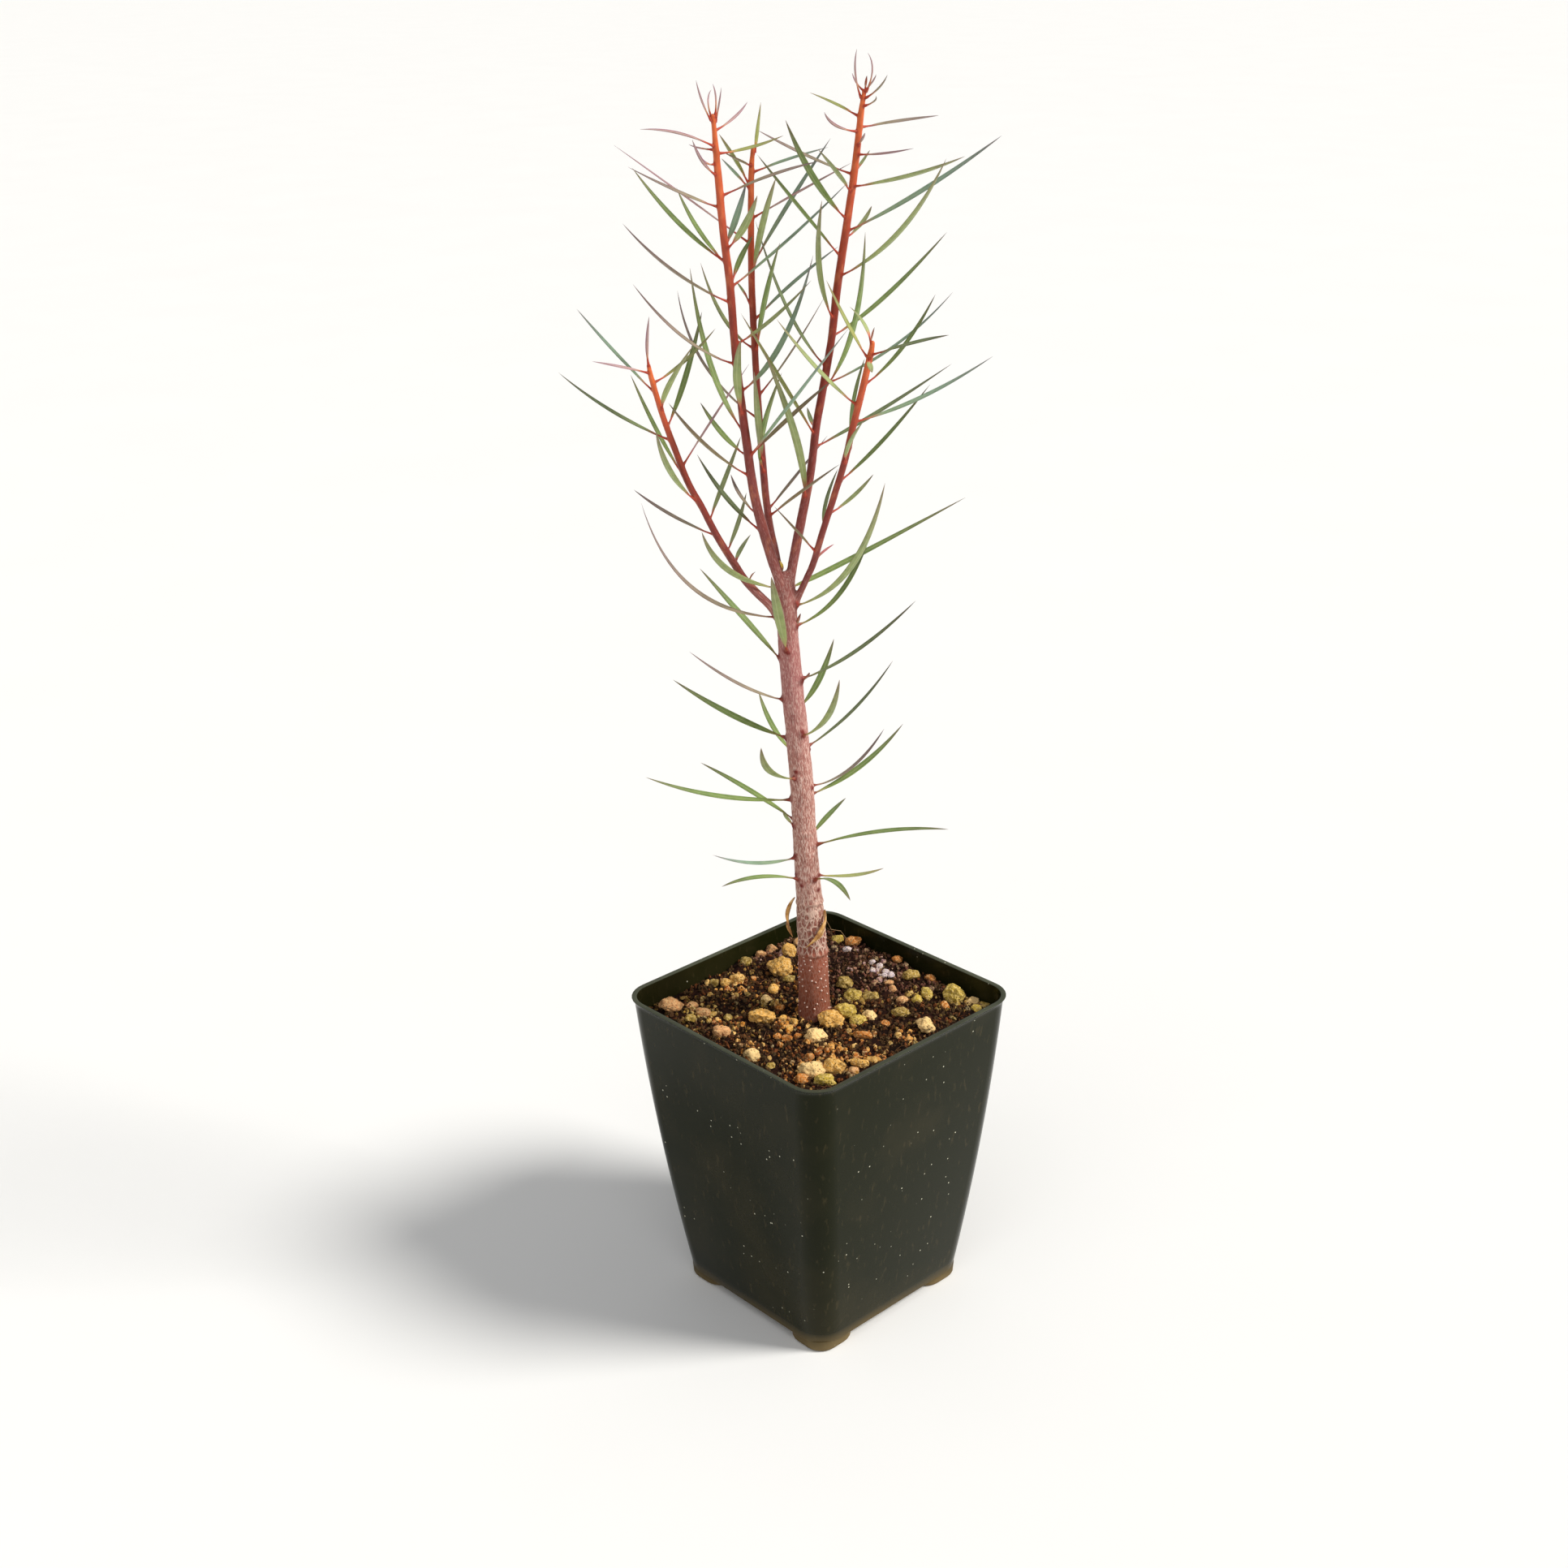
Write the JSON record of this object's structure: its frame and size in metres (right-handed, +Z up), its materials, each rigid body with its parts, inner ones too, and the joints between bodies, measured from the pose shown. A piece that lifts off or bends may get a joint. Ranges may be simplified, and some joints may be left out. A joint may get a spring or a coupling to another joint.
{
  "type": "potted euphorbia",
  "caption": "Young branching euphorbia with narrow leaves on a woody trunk, rooted in soil in a square tapered nursery pot with corner feet.",
  "frame": {"origin": "on the pot's axis, at the surface its feet stand on", "axes": "+Z up along the pot's axis; X and Y parallel to the pot's square sides; the plant's front faces the corner between +X and -Y"},
  "size_m": [0.0953, 0.107, 0.3904],
  "materials": {
    "pot": "glossy dark green moulded plastic",
    "soil": "matt moist peat and bark",
    "pumice": "matt porous stone",
    "bark": "matt fissured bark",
    "young_stem": "satin young bark",
    "leaf": "satin leaf",
    "dried_leaf": "matt dried leaf"
  },
  "bodies": {
    "root": {"dried_leaf_1": "dried_leaf", "dried_leaf_2": "dried_leaf", "leaf_shoot_low_left_01": "leaf", "leaf_shoot_low_left_02": "leaf", "leaf_shoot_low_left_03": "leaf", "leaf_shoot_low_left_04": "leaf", "leaf_shoot_low_right_01": "leaf", "leaf_shoot_low_right_02": "leaf", "leaf_shoot_low_right_03": "leaf", "leaf_shoot_tall_left_01": "leaf", "leaf_shoot_tall_left_02": "leaf", "leaf_shoot_tall_left_03": "leaf", "leaf_shoot_tall_left_04": "leaf", "leaf_shoot_tall_right_01": "leaf", "leaf_shoot_tall_right_02": "leaf", "leaf_shoot_tall_right_03": "leaf", "leaf_shoot_tall_right_04": "leaf", "leaf_shoot_tall_right_05": "leaf", "leaf_shoot_tall_right_06": "leaf", "leaf_shoot_tall_right_07": "leaf", "leaf_trunk_01": "leaf", "leaf_trunk_02": "leaf", "leaf_trunk_03": "leaf", "leaf_trunk_04": "leaf", "leaf_trunk_05": "leaf", "leaf_trunk_06": "leaf", "leaf_trunk_07": "leaf", "leaf_trunk_08": "leaf", "leaf_trunk_09": "leaf", "leaf_trunk_10": "leaf", "leaf_trunk_11": "leaf", "leaf_trunk_12": "leaf", "leaf_trunk_13": "leaf", "leaf_trunk_14": "leaf", "leaf_trunk_15": "leaf", "leaf_trunk_16": "leaf", "leaf_trunk_17": "leaf", "leaf_trunk_18": "leaf", "leaf_trunk_19": "leaf", "leaf_trunk_20": "leaf", "leaf_trunk_21": "leaf", "leaf_trunk_22": "leaf", "leaf_trunk_23": "leaf", "leaf_trunk_24": "leaf", "pot": "pot", "pumice_1": "pumice", "pumice_2": "pumice", "pumice_3": "pumice", "pumice_4": "pumice", "pumice_5": "pumice", "pumice_6": "pumice", "shoot_low_left": "young_stem", "shoot_low_right": "young_stem", "shoot_middle": "young_stem", "shoot_tall_left": "young_stem", "shoot_tall_right": "young_stem", "soil": "soil", "trunk": "bark"}
  },
  "joints": []
}
